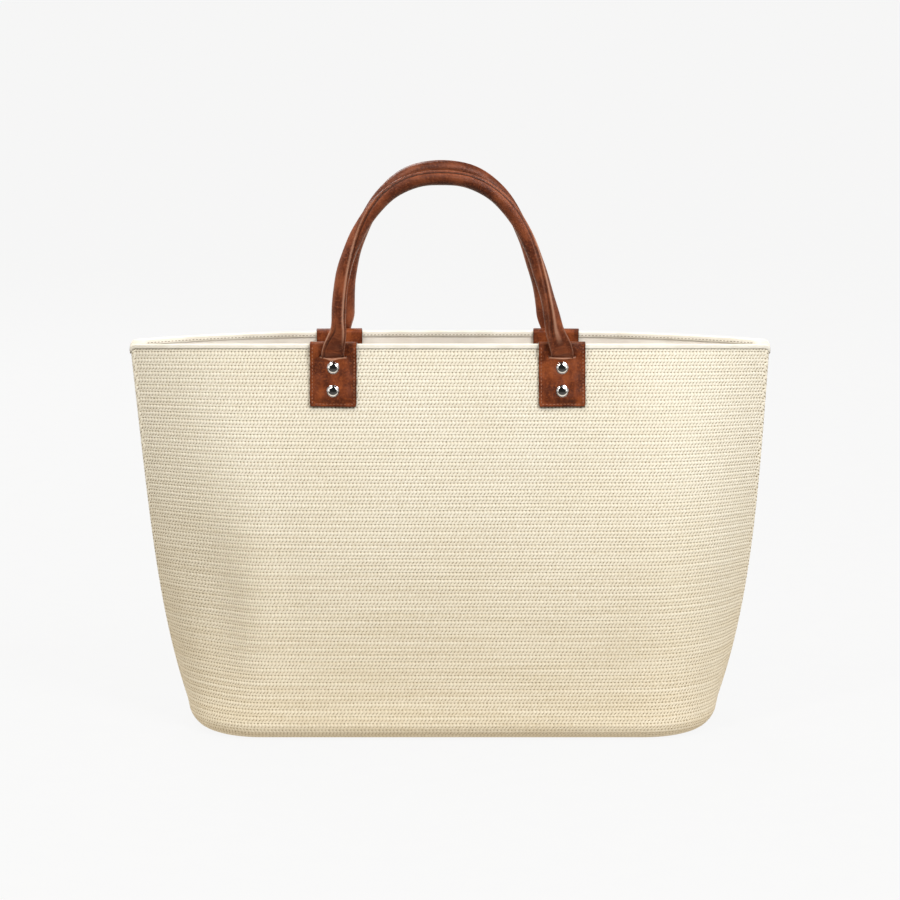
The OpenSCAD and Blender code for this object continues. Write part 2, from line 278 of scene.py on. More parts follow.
# %% [markdown]
# ## The shape of the bag
# The cloth of each wall is one rectangle. Along the base it follows a rectangle with round corners, and at
# the mouth it closes to a long pointed lens. Every layer, from the straw to the lining, is the same
# formula with another inset, which is the distance inwards from the outer face of the straw. So the
# layers never cross, and a soft hollow pushed into the straw carries the lining with it. The rim dips from
# its middle to the side seams, and the whole bag stands a little askew, which is what sway is for.

# %% Sizes in millimetres, from the frame where it has them
MM = 0.001
straw_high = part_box("front_panel")[1] / MM
mouth_w = 2 * straw_high.x
body_h = straw_high.z
base_w, base_d = 433, 157
mouth_d = 80
base_corner_r = 60
base_bend_r = 14.5
rim_dip = {"front": 6, "back": 2}
even_flare, low_flare = 0.5, 3.9
straw_t = 2
sway, sway_bow = 2, 1.2
seam_top = body_h - 10
seam_start = 0.984
base_front = base_w / 2 - base_corner_r
base_side = base_d / 2 - base_corner_r
half_girth = base_front + base_corner_r * math.pi / 2 + base_side
tip_slope = 3 * mouth_d / mouth_w
tip_sine = math.sin(math.atan(tip_slope))
edge_spread = tip_slope**2 / 10
print("mouth", round(mouth_w), "height", round(body_h))
print("base depth", base_d, "girth", round(4 * half_girth))


# %% The wall's formula
def smooth(x):
    c = np.clip(x, 0, 1)
    return c * c * (3 - 2 * c)


def base_point(s, inset):
    """A place (x, y) on the base's outline, for a share s of the way from the middle to the side."""
    w, h, r = base_w / 2 - inset, base_d / 2 - inset, base_corner_r - inset
    front, bend = w - r, r * math.pi / 2
    along = s * (front + bend + h - r)
    angle = np.clip((along - front) / r, 0, math.pi / 2)
    past = np.maximum(along - front - bend, 0)
    return np.minimum(along, front) + r * np.sin(angle), r - h - r * np.cos(angle) + past


def rim_point(s, inset):
    """A place (x, y) on the mouth, for a share s of the way from the middle to the side seam."""
    x = (1 + edge_spread) * s - edge_spread * s**5
    return (mouth_w / 2 - inset / tip_sine) * x, -(mouth_d / 2 - inset) * (1 - x**3)


def wall_point(u, z, inset, dip=rim_dip["front"]):
    """A point of the front wall. The back wall is the same with its own dip, mirrored."""
    u, z, inset = np.broadcast_arrays(*(np.asarray(v, float) for v in (u, z, inset)))
    s, t = np.abs(u), z / body_h
    low_x, low_y = base_point(s, inset)
    high_x, high_y = rim_point(s, inset)
    flare = even_flare * t + (1 - even_flare) * (1 - np.maximum(0, 1 - t) ** low_flare)
    x = low_x + (high_x - low_x) * flare
    y = low_y + (high_y - low_y) * t
    corner = 1 - np.sqrt(1 - np.clip((s - seam_start) / (1 - seam_start), 0, 1) ** 2)
    height = body_h - dip * s**3 - (body_h - dip - seam_top) * corner
    aside = sway * (1 - t) + sway_bow * np.sin(np.clip(t, 0, 1) * math.pi)
    return np.stack([np.where(u < 0, -x, x) + aside, y, t * height], -1)


# %% The cloth's own measure: up round the bend of the base, then up the wall
bend_length = base_bend_r * math.pi / 2
wall_lean = math.atan((base_d - mouth_d) / 2 / body_h)
cloth_height = bend_length + (body_h - base_bend_r) / math.cos(wall_lean)


def cloth_point(u, up, inset, top=body_h, dip=rim_dip["front"]):
    """A point of the front wall, up millimetres of cloth above the seam of the base."""
    u, up, inset = np.broadcast_arrays(*(np.asarray(v, float) for v in (u, up, inset)))
    angle = np.clip(up / bend_length, 0, 1) * math.pi / 2
    r = base_bend_r - inset
    share = np.maximum(up - bend_length, 0) / (cloth_height - bend_length)
    z = base_bend_r - r * np.cos(angle) + share * (top - base_bend_r)
    point = wall_point(u, z, base_bend_r - r * np.sin(angle), dip)
    point[..., 1] = np.minimum(point[..., 1], -0.1)
    return point


print("cloth cut for a wall:", round(2 * half_girth), "x", round(cloth_height), "mm")

# %% [markdown]
# ## Making meshes
# A cloth is two grids of points, one for each face, joined round the edge. The outer face may have more
# rows than the inner one, so the detail goes where it shows. Rolled and folded pieces are rings of
# points, swept from one end to the other.

# %% Turn points and faces into a piece
def make_piece(name, points, faces, finish, body="bag"):
    mesh = bpy.data.meshes.new(name)
    mesh.from_pydata((np.asarray(points, float).reshape(-1, 3) * MM).tolist(), [], faces)
    shaping = bmesh.new()
    shaping.from_mesh(mesh)
    bmesh.ops.recalc_face_normals(shaping, faces=shaping.faces)
    shaping.to_mesh(mesh)
    shaping.free()
    mesh.polygons.foreach_set("use_smooth", [True] * len(mesh.polygons))
    mesh.materials.append(finish)
    piece = bpy.data.objects.new(name, mesh)
    bpy.context.collection.objects.link(piece)
    if body:
        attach(piece, body)
    return piece


def lay_map(piece, name, values):
    """Gives each corner of the mesh its point's place on the cloth."""
    mesh = piece.data
    corners = np.zeros(len(mesh.loops), int)
    mesh.loops.foreach_get("vertex_index", corners)
    chart = mesh.uv_layers.new(name=name)
    chart.data.foreach_set("uv", np.asarray(values, float).reshape(-1, 2)[corners].ravel())


def paint(piece, name, values):
    layer = piece.data.attributes.new(name, "FLOAT", "POINT")
    layer.data.foreach_set("value", np.asarray(values, np.float32).ravel())


# %% Faces for a cloth with two grids, and for rings swept along a path
def cloth_faces(outer_shape, inner_shape):
    rows, cols = outer_shape
    inner_rows = inner_shape[0]
    step = (rows - 1) // (inner_rows - 1)
    base = rows * cols
    faces = [(i * cols + j, i * cols + j + 1, (i + 1) * cols + j + 1, (i + 1) * cols + j)
             for i in range(rows - 1) for j in range(cols - 1)]
    faces += [(base + i * cols + j, base + (i + 1) * cols + j,
               base + (i + 1) * cols + j + 1, base + i * cols + j + 1)
              for i in range(inner_rows - 1) for j in range(cols - 1)]
    for outer_row, inner_row in ((0, 0), (rows - 1, inner_rows - 1)):
        a, b = outer_row * cols, base + inner_row * cols
        faces += [(a + j, a + j + 1, b + j + 1, b + j) for j in range(cols - 1)]
    for j in (0, cols - 1):
        for i in range(inner_rows - 1):
            outer_side = [(i * step + k) * cols + j for k in range(step + 1)]
            faces.append((*outer_side, base + (i + 1) * cols + j, base + i * cols + j))
    return faces


def make_cloth(name, outer, inner, finish, face="front"):
    """Makes a cloth of two grids of points. They are drawn at the front, and mirrored for the back."""
    points = np.concatenate([outer.reshape(-1, 3), inner.reshape(-1, 3)])
    if face == "back":
        points[:, 1] *= -1
    return make_piece(name, points, cloth_faces(outer.shape[:2], inner.shape[:2]), finish)


def ring_faces(count, around, closed):
    faces = [(i * around + j, i * around + (j + 1) % around,
              (i + 1) % count * around + (j + 1) % around, (i + 1) % count * around + j)
             for i in range(count if closed else count - 1) for j in range(around)]
    if not closed:
        last = (count - 1) * around
        for start, way in ((0, 1), (last, -1)):
            faces += [tuple((start + k for k in (j, j + 1, around - 2 - j, around - 1 - j)))[::way]
                      for j in range(around // 2 - 1)]
    return faces


# %% [markdown]
# ## The straw weave
# Paper straw is knitted in courses. Each course has two rows of small holes. Between the first row and the
# second the strands lean over by half a stitch, and between the second and the next course they run
# straight, under a smooth cord. The cloth's map counts stitches across and courses up, so plain sums on
# it find the holes and strands, and the pattern keeps its scale wherever the cloth bends. The holes, the
# gaps between strands and the grooves between courses are darkened with painted shade, and the cord gets a
# faint painted highlight. The straw is darker and browner towards the base, and slow noise gives it
# patches and streaks.

# %% Measures of the weave
stitch_pitch = 2.95
courses = round(cloth_height / 5.6)
course_pitch = cloth_height / courses
second_row = 0.44
cord_middle = (1 + second_row) / 2
print(courses, "courses of", round(course_pitch, 2), "mm")


# %% Find holes, strands and rows from the cloth's map
def weave_fields(tree):
    across, up, _ = split(tree, cloth_map(tree, "weave"))
    course = maths(tree, "FLOOR", up)
    part = minus(tree, up, course)
    lean = fade(tree, part, 0.03, second_row - 0.03, 0.0, 0.5)
    past_second = minus(tree, part, second_row)
    in_second = fade(tree, maths(tree, "ABSOLUTE", past_second), 0.30, 0.18)
    slant = times(tree, times(tree, past_second, in_second), 1.1)
    shift = plus(tree, plus(tree, times(tree, course, 0.5), lean), slant)
    stitch = minus(tree, across, shift)
    turn = maths(tree, "FRACT", plus(tree, stitch, 0.5))
    aside = maths(tree, "ABSOLUTE", minus(tree, turn, 0.5))
    to_second = maths(tree, "ABSOLUTE", past_second)
    to_next = minus(tree, 1.0, part)
    nearest = maths(tree, "MINIMUM", maths(tree, "MINIMUM", part, to_second), to_next)
    return course, part, aside, nearest, in_second


def make_straw(name):
    finish, tree, shader = start_finish(name)
    course, part, aside, nearest, in_second = weave_fields(tree)
    wide = maths(tree, "DIVIDE", aside, fade(tree, in_second, 0.0, 1.0, 0.28, 0.19))
    tall = maths(tree, "DIVIDE", nearest, fade(tree, in_second, 0.0, 1.0, 0.13, 0.17))
    squares = [maths(tree, "POWER", side, 2.0) for side in (wide, tall)]
    reach = maths(tree, "SQRT", plus(tree, *squares))
    hole = fade(tree, reach, 1.15, 0.35)
    groove_shade = fade(tree, nearest, 0.10, 0.0)
    between_strands = fade(tree, aside, 0.16, 0.0)
    from_cord = maths(tree, "ABSOLUTE", minus(tree, part, cord_middle))
    cord = fade(tree, from_cord, 0.16, 0.02)
    strand_gap_shade = times(tree, between_strands, fade(tree, cord, 0.0, 1.0, 1.0, 0.6))

    chart = cloth_map(tree, "weave")
    yarn = noise(tree, stretched(tree, chart, 0.9, 2.2, 1.0), 1.0, 3.0)
    patches = noise(tree, stretched(tree, chart, 0.035, 0.06, 1.0), 1.0, 2.0)
    streaks = noise(tree, stretched(tree, chart, 0.03, 1.0, 1.0), 1.0, 1.0)
    # darker, browner straw towards the base and paler straw towards the rim
    low_straw = mix_colours(tree, fade(tree, yarn, 0.25, 0.75), (0.70, 0.61, 0.45), (0.79, 0.715, 0.565))
    high_straw = mix_colours(tree, fade(tree, yarn, 0.25, 0.75), (0.85, 0.79, 0.65), (0.95, 0.91, 0.80))
    straw = mix_colours(tree, fade(tree, course, 2.0, 0.85 * courses), low_straw, high_straw)
    straw = mix_colours(tree, fade(tree, patches, 0.3, 0.7, 0.0, 0.25), straw, (0.80, 0.71, 0.53))
    straw = mix_colours(tree, fade(tree, streaks, 0.35, 0.65, 0.0, 0.22), straw, (0.98, 0.94, 0.82))
    # painted highlight: the smooth cord is a touch paler
    straw = mix_colours(tree, times(tree, cord, 0.05), straw, (0.97, 0.93, 0.84))
    # painted shade in the gaps between strands
    straw = mix_colours(tree, times(tree, strand_gap_shade, 0.34), straw, (0.66, 0.54, 0.35))
    # painted shade in the grooves between courses
    straw = mix_colours(tree, times(tree, groove_shade, 0.15), straw, (0.80, 0.62, 0.38))
    # painted shade in the holes of the weave, uneven from hole to hole
    gaps = noise(tree, stretched(tree, chart, 0.45, 1.0, 1.0), 1.0, 1.0)
    depth = times(tree, hole, fade(tree, gaps, 0.3, 0.65, 1.0, 0.55))
    straw = mix_colours(tree, depth, straw, (0.35, 0.27, 0.16))
    feed(tree, shader.inputs["Base Color"], straw)
    feed(tree, shader.inputs["Roughness"], fade(tree, yarn, 0.2, 0.8, 0.62, 0.82))
    shader.inputs["Specular IOR Level"].default_value = 0.3

    strand_round = fade(tree, aside, 0.0, 0.5)
    height = minus(tree, times(tree, strand_round, 0.5), hole)
    height = plus(tree, height, times(tree, yarn, 0.25))
    feed(tree, shader.inputs["Normal"], bump(tree, height, 0.0004))
    return finish


straw_finish = make_straw("woven_straw")
print("finish:", straw_finish.name)

# %% [markdown]
# ## The two straw walls
# The wall is lofted from its formula, and the courses are real ridges: each course is a narrow round cord
# and a wide one, with a groove between them. Eight rows of points for each course are enough to round
# both. A few soft hollows give the wall the slack look of cloth that holds itself up.
# A cloth simulation would lose the courses, so the hollows are formulas too. Each one is listed as its
# place across (-1 to 1 from seam to seam), its height in millimetres, its two spreads and its depth.

# %% Soft hollows in the walls
hollows = {
    "front": [(-0.75, 100, 0.12, 75, 7.5), (-0.50, 125, 0.05, 60, 1.2), (-0.86, 190, 0.10, 110, 1.0),
              (0.30, 205, 0.30, 70, 1.2), (0.62, 90, 0.12, 60, 1.6), (-0.10, 90, 0.25, 60, 0.9)],
    "back": [(0.50, 130, 0.13, 80, 3.0), (-0.45, 170, 0.22, 70, 2.0), (0.05, 100, 0.3, 70, 1.2),
             (-0.80, 110, 0.10, 60, 1.4)],
}


def slack(face, u, up):
    """How far the cloth is pushed in at this place, in millimetres."""
    push = sum(depth * np.exp(-((u - at_u) / wide) ** 2 - ((up - at_up) / tall) ** 2)
               for at_u, at_up, wide, tall, depth in hollows[face])
    return push * smooth(up / 40) * smooth((cloth_height - up) / 50) * smooth((1 - np.abs(u)) / 0.12)


# %% Courses as ridges
part_steps = np.array([0, 0.11, 0.22, 0.33, 0.44, 0.58, 0.72, 0.86])
course_rows = np.append((np.arange(courses)[:, None] + part_steps).ravel(), courses)
narrow_ridge, wide_ridge = 0.15, 0.18
ridge_power = 0.8


def ridge_height(count):
    part = count - np.floor(count)
    narrow = np.sin(np.clip(part / second_row, 0, 1) * math.pi) ** ridge_power
    wide = np.sin(np.clip((part - second_row) / (1 - second_row), 0, 1) * math.pi) ** ridge_power
    return np.maximum(narrow_ridge * narrow, wide_ridge * wide)


near_seam = np.array([seam_start, 0.988, 0.992, 0.995, 0.9975, 0.999])
wall_columns = np.concatenate([[-1], -near_seam[::-1], np.linspace(-0.98, 0.98, 95), near_seam, [1]])


def make_wall(face):
    u, dip = wall_columns[None, :], rim_dip[face]
    count = course_rows[:, None]
    up = count * course_pitch
    uneven = 1 + 0.25 * np.sin(0.7 * count + 9 * u) * np.sin(3.1 * u + 0.21 * count)
    proud = ridge_height(count) * uneven * smooth(up / 12)
    outer = cloth_point(u, up, slack(face, u, up) - proud, dip=dip)
    inner_up = np.arange(courses + 1)[:, None] * course_pitch
    inner = cloth_point(u, inner_up, straw_t + slack(face, u, inner_up), dip=dip)
    wall = make_cloth(face + "_straw_wall", outer, inner, straw_finish, face)
    stitches_across = u * half_girth / stitch_pitch
    charts = [np.stack(np.broadcast_arrays(stitches_across, rows), -1).reshape(-1, 2)
              for rows in (count, np.arange(courses + 1)[:, None])]
    lay_map(wall, "weave", np.concatenate(charts))
    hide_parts(face + "_panel")
    return wall


for face in ("front", "back"):
    wall = make_wall(face)
    print(wall.name, len(wall.data.polygons), "faces")

# %% [markdown]
# ## The base and its seam
# The base is a flat piece of the same cloth, with straight courses from end to end, and a cord is sewn
# round it where it meets the walls. Rows of points that stop at the rounded outline keep the courses
# straight and the edge clean.

# %% Flat pieces with the outline of the base
def half_width(y, inset):
    reach = np.clip(np.abs(y) - base_side, 0, base_corner_r - inset)
    return base_front + np.sqrt((base_corner_r - inset) ** 2 - reach**2)


def flat_points(ys, columns, inset, heights):
    x = half_width(ys, inset)[:, None] * columns[None, :] + sway
    z = np.broadcast_to(heights, x.shape)
    return np.stack([x, np.broadcast_to(ys[:, None], x.shape), z], -1)


base_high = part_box("base_panel")[1] / MM
base_inset = base_d / 2 - base_high.y
flat_columns = np.sin(np.linspace(-1, 1, 61) * math.pi / 2)


def make_base():
    half = base_high.y
    rows = round(2 * half / course_pitch)
    count = np.append((np.arange(rows)[:, None] + part_steps).ravel(), rows)
    ys = np.clip(-half + count * 2 * half / rows, -half + 0.001, half - 0.001)
    under = flat_points(ys, flat_columns, base_inset, (wide_ridge - ridge_height(count))[:, None])
    inner_ys = np.clip(-half + np.arange(rows + 1) * 2 * half / rows, -half + 0.001, half - 0.001)
    over = flat_points(inner_ys, flat_columns, base_inset, base_high.z)
    base = make_cloth("straw_base", under, over, straw_finish)
    chart = np.concatenate([grid.reshape(-1, 3)[:, :2] for grid in (under, over)])
    lay_map(base, "weave", (chart + (0, half)) / (stitch_pitch, course_pitch))
    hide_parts("base_panel")
    return base


print("base:", len(make_base().data.polygons), "faces")


# %% [markdown]
# ## Binding cloth
# The raw edges of the straw are covered. A smooth woven tape is folded over the rim, and a cord of it is
# sewn round the base. It is paler than the straw, with a fine plain weave that shows only close by. The two
# side seams are covered by a narrow strip of the straw itself, with its courses in line with the walls',
# so from the front a seam is hard to see.

# %% Finish of the tape and of sewing thread
def make_tape(name, light, shade, threads=1400.0):
    """A plain weave of two near shades. More threads make it finer."""
    finish, tree, shader = start_finish(name)
    place = body_place(tree)
    x, y, z = split(tree, place)
    sideways = plus(tree, x, y)
    warp = maths(tree, "SINE", times(tree, sideways, threads * 2))
    weft = maths(tree, "SINE", times(tree, z, threads * 2))
    crossing = times(tree, warp, weft)
    cloudy = noise(tree, place, 60.0, 3.0)
    colour = mix_colours(tree, fade(tree, cloudy, 0.3, 0.7), light, shade)
    colour = mix_colours(tree, fade(tree, crossing, 0.0, 1.0, 0.0, 0.12), colour, shade)
    feed(tree, shader.inputs["Base Color"], colour)
    feed(tree, shader.inputs["Roughness"], fade(tree, cloudy, 0.2, 0.8, 0.75, 0.92))
    shader.inputs["Specular IOR Level"].default_value = 0.25
    shader.inputs["Sheen Weight"].default_value = 0.15
    feed(tree, shader.inputs["Normal"], bump(tree, crossing, 0.00008))
    return finish


tape_finish = make_tape("binding_tape", (0.89, 0.86, 0.78), (0.80, 0.76, 0.67))
thread_finish = make_tape("drab_thread", (0.44, 0.37, 0.29), (0.30, 0.25, 0.19), 5000.0)
print("finishes:", tape_finish.name, thread_finish.name)


# %% The cord round the base and the strips on the side seams
def make_base_cord():
    s = np.linspace(0, 1, 60)
    x, y = base_point(s, base_bend_r + 0.45)
    right_front = np.stack([x, y], -1)
    right = np.concatenate([right_front, right_front[-2::-1] * (1, -1)])
    loop = np.concatenate([right, right[-2:0:-1] * (-1, 1)])
    ahead = np.roll(loop, -1, 0) - np.roll(loop, 1, 0)
    ahead /= np.linalg.norm(ahead, axis=1)[:, None]
    aside = np.stack([ahead[:, 1], -ahead[:, 0]], -1)
    turn = np.linspace(0, 2 * math.pi, 10, endpoint=False)
    cord_r = 1.15
    flat = loop[:, None, :] + (sway, 0) + aside[:, None, :] * (cord_r * np.cos(turn))[None, :, None]
    z = np.broadcast_to(cord_r * (1 + np.sin(turn)), flat.shape[:2])
    rings = np.concatenate([flat, z[..., None]], -1)
    return make_piece("base_seam_cord", rings, ring_faces(len(loop), len(turn), True),
                      tape_finish)


def make_side_strip(side):
    """A narrow strip of straw folded over the side seam, from the base to the rim."""
    strip_w = 2.2
    up = course_rows[course_rows * course_pitch > 9][:-3, None] * course_pitch
    from_seam = np.linspace(strip_w, 0, 5)[None, :]
    across = side * (1 - from_seam / half_girth)
    ribs = ridge_height(up / course_pitch) * smooth(up / 12)
    front = cloth_point(across, up, -0.10 - 0.12 * (from_seam < strip_w) - ribs)
    back = front[:, -1::-1] * (1, -1, 1)
    inner = cloth_point(across, up, 0.1)
    inner_back = inner[:, -1::-1] * (1, -1, 1)
    rings = np.concatenate([front, back, inner_back[:, -1::-1], inner[:, -1::-1]], 1)
    name = "left_seam_strip" if side < 0 else "right_seam_strip"
    strip = make_piece(name, rings, ring_faces(len(rings), rings.shape[1], False), straw_finish)
    there_and_back = np.concatenate([across, across[:, ::-1]], 1)
    stitches = np.tile(there_and_back, (1, 2)) * half_girth / stitch_pitch
    lay_map(strip, "weave", np.stack(np.broadcast_arrays(stitches, up / course_pitch), -1))
    return strip


print(make_base_cord().name, make_side_strip(-1).name, make_side_strip(1).name)

# %% [markdown]
# ## Binding of the rim
# The tape on the rim is one band folded over the edge and sewn down a few millimetres below it. Its
# section is a thin hook. Sweeping that hook round the whole mouth, with a shallow pucker at each stitch,
# makes the band. The thread shows on the inside only, as small beads laid along the line of sewing.

# %% Rim measures and a point on the band
layer_gap = 0.3
lining_t = 0.8
lining_inset = straw_t + layer_gap
binding_t = 0.6
binding_gap = 0.2
binding_leg = 4
outer_leg = 3
binding_inner = lining_inset + lining_t + binding_gap
binding_back = binding_inner + binding_t
rim_stitch_pitch, rim_stitch_drop = 3.1, 2.3
rim_stations = np.linspace(-1, 1, 700, endpoint=False)


def rim_band(u, inset, drop, side):
    """A point drop millimetres below the rim, or above it where drop is less than nothing."""
    dip = rim_dip["front" if side > 0 else "back"]
    point = wall_point(u, body_h - np.maximum(drop, 0), inset, dip)
    point[..., 2] += np.maximum(-np.asarray(drop, float), 0)
    return point * (1, side, 1)


# %% Sweep the band
def make_binding():
    out = binding_t + binding_gap
    width = out + binding_back
    turn = np.linspace(0, math.pi, 9)
    over = [(-out + width * (1 - math.cos(a)) / 2, -(binding_t + 0.25) * math.sin(a) ** 0.6) for a in turn]
    hook = [(-out + 0.3, outer_leg), (-out, outer_leg - 0.5), (-out, 1.8), (-out, 0.9), *over,
            (binding_back, 1.2), (binding_back, 2.6), (binding_back, binding_leg - 0.4),
            (binding_back - 0.25, binding_leg), (binding_inner, binding_leg), (binding_inner, -0.05),
            (-binding_gap, -0.05), (-binding_gap, outer_leg)]
    hook = np.array(hook)
    pull = np.zeros(len(hook))
    pull[[2, 3]] = 1
    pull[[-7, -8]] = -1
    stitch = np.cos(rim_stations * half_girth * 2 * math.pi / rim_stitch_pitch) * 0.09
    inset = hook[None, :, 0] + pull[None, :] * stitch[:, None]
    rings = np.concatenate([rim_band(side * rim_stations[:, None], inset, hook[None, :, 1], side)
                            for side in (1, -1)])
    band = make_piece("rim_band", rings, ring_faces(len(rings), len(hook), True), tape_finish)
    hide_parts("rim_binding")
    return band


print("band:", len(make_binding().data.polygons), "faces")


# %% Beads of thread
def bead_points(long, wide, tall, around=8, rings=4):
    """A rounded bead along x, from tip to tip, and its faces."""
    tip_low, tip_high = [(-long / 2, 0, 0)], [(long / 2, 0, 0)]
    body = []
    for i in range(1, rings):
        a = math.pi * i / rings
        for j in range(around):
            b = 2 * math.pi * j / around
            body.append((-math.cos(a) * long / 2, math.sin(a) * math.cos(b) * wide / 2,
                         math.sin(a) * math.sin(b) * tall / 2))
    points = np.array(tip_low + body + tip_high)
    last = len(points) - 1
    faces = [(0, 1 + j, 1 + (j + 1) % around) for j in range(around)]
    for i in range(rings - 2):
        a, b = 1 + i * around, 1 + (i + 1) * around
        faces += [(a + j, b + j, b + (j + 1) % around, a + (j + 1) % around) for j in range(around)]
    top = 1 + (rings - 2) * around
    faces += [(top + j, last, top + (j + 1) % around) for j in range(around)]
    return points, faces


def sew(name, places, alongs, ups, size, finish):
    """One bead of thread at each place, lying along its direction, with its up side away from the cloth."""
    bead, bead_faces = bead_points(*size)
    places, alongs, ups = (np.asarray(v, float) for v in (places, alongs, ups))
    alongs = alongs / np.linalg.norm(alongs, axis=1)[:, None]
    sides = np.cross(ups, alongs)
    sides /= np.linalg.norm(sides, axis=1)[:, None]
    ups = np.cross(alongs, sides)
    points = (places[:, None] + alongs[:, None] * bead[None, :, :1] + sides[:, None] * bead[None, :, 1:2]
              + ups[:, None] * bead[None, :, 2:3])
    faces = [tuple(i * len(bead) + k for k in face) for i in range(len(places)) for face in bead_faces]
    return make_piece(name, points, faces, finish)


def sew_rim():
    """Sews the band on the inside of the front and then of the back."""
    count = int(2 * half_girth / rim_stitch_pitch)
    u = (np.arange(count) + 0.5) / count * 2 - 1
    places, alongs, ups = [], [], []
    inset = binding_back + 0.05
    for side in (1, -1):
        spot = rim_band(u, inset, rim_stitch_drop, side)
        ahead = rim_band(u + 0.001, inset, rim_stitch_drop, side)
        farther = rim_band(u, inset + 1, rim_stitch_drop, side)
        places.append(spot)
        alongs.append(ahead - spot)
        ups.append(farther - spot)
    return sew("rim_stitches", np.concatenate(places), np.concatenate(alongs), np.concatenate(ups),
               (2.0, 0.7, 0.5), thread_finish)


print("rim stitches:", len(sew_rim().data.polygons), "faces")

# %% [markdown]
# ## Cotton lining
# The lining is plain cotton, hung inside the straw from the rim and sewn to its own floor. It is a little
# too big for the bag, as linings are, so it stands off the straw in soft folds that run down from the
# rim. The folds are sums of slow waves that fade out where the cloth is sewn.

# %% Finish of the cotton
cotton_finish = make_tape("cotton_lining", (0.93, 0.89, 0.83), (0.85, 0.80, 0.73), 2000.0)


# %% Hang the lining
def folds(u, up, seed):
    """How far the lining stands off the straw, in millimetres."""
    waves = (np.sin(17 * u + seed + 0.004 * up) + 0.7 * np.sin(31 * u + 2 * seed - 0.010 * up)
             + 0.4 * np.sin(7 * u + 0.021 * up + seed))
    lift = np.clip(0.5 + waves / 3, 0, 1.2)
    room = 0.5 + 2.2 * smooth((cloth_height - up - 30) / 120)
    loose = smooth((cloth_height - up - 5) / 18) * smooth((up - 14) / 40)
    return lift * room * loose * smooth((1 - np.abs(u)) / 0.08)


lining_start = bend_length * 25 / 90


def make_lining(face, seed):
    u, dip = np.linspace(-1, 1, 161)[None, :], rim_dip[face]
    up = np.linspace(lining_start, cloth_height, 90)[:, None]
    inset = lining_inset + slack(face, u, up) + folds(u, up, seed)
    top = body_h - 0.6
    outer = cloth_point(u, up, inset, top, dip)
    inner = cloth_point(u, up, inset + lining_t, top, dip)
    lining = make_cloth(face + "_lining", outer, inner, cotton_finish, face)
    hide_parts("lining_" + face)
    return lining


def make_lining_floor():
    low, high = (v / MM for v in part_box("lining_base"))
    inset = base_d / 2 - high.y
    ys = np.linspace(-high.y + 0.001, high.y - 0.001, 61)
    x = flat_points(ys, flat_columns, inset, 0)
    ripple = 0.6 + 0.6 * np.sin(x[..., 0] / 23 + np.sin(x[..., 1] / 17)) * np.cos(x[..., 1] / 21)
    edge = smooth((1 - np.abs(flat_columns))[None, :] / 0.1) * smooth((high.y - np.abs(ys))[:, None] / 12)
    under, over = x.copy(), x.copy()
    under[..., 2] = low.z + ripple * edge
    over[..., 2] = under[..., 2] + lining_t
    floor = make_cloth("lining_floor", under, over, cotton_finish)
    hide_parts("lining_base")
    return floor


print(make_lining("front", 0.6).name, make_lining("back", 2.1).name, make_lining_floor().name)

# %% [markdown]
# ## Stiffening board
# A thin grey board lies between the straw base and the lining's floor. Nobody sees it in use, but it keeps
# the base flat. The measured solid already has its true shape, so it only gets a finish of pressed pulp.

# %% Finish the board
def make_board():
    finish, tree, shader = start_finish("grey_board")
    place = body_place(tree)
    pulp = noise(tree, place, 900.0, 4.0)
    colour = mix_colours(tree, fade(tree, pulp, 0.3, 0.7), (0.16, 0.13, 0.10), (0.24, 0.21, 0.17))
    feed(tree, shader.inputs["Base Color"], colour)
    shader.inputs["Roughness"].default_value = 0.9
    feed(tree, shader.inputs["Normal"], bump(tree, pulp, 0.0001))
    return finish


def refinish(node, finish):
    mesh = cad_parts[node].data
    mesh.materials.clear()
    mesh.materials.append(finish)


refinish("base_board", make_board())
print("board finished")

# %% [markdown]
# ## Leather
# Tabs and handles are thin brown leather with a waxy, mottled face. Three sizes of noise make it: broad
# clouds of darker and warmer brown, small flecks, and a fine grain that also dents the surface. Each
# mesh carries a painted value named tone. Above nothing it mixes in a pale colour: on the ridges and
# curled edges of a handle this is partly wear and partly painted highlight, along a tab's fold it is a
# painted highlight, and a slit's lower lip is simply paler. Below nothing it mixes in a near-black
# brown: the dark cut edges, and painted shade in creases, round the rivets, where a handle enters its
# slit, on the sides of the roll and over the top of the grip.

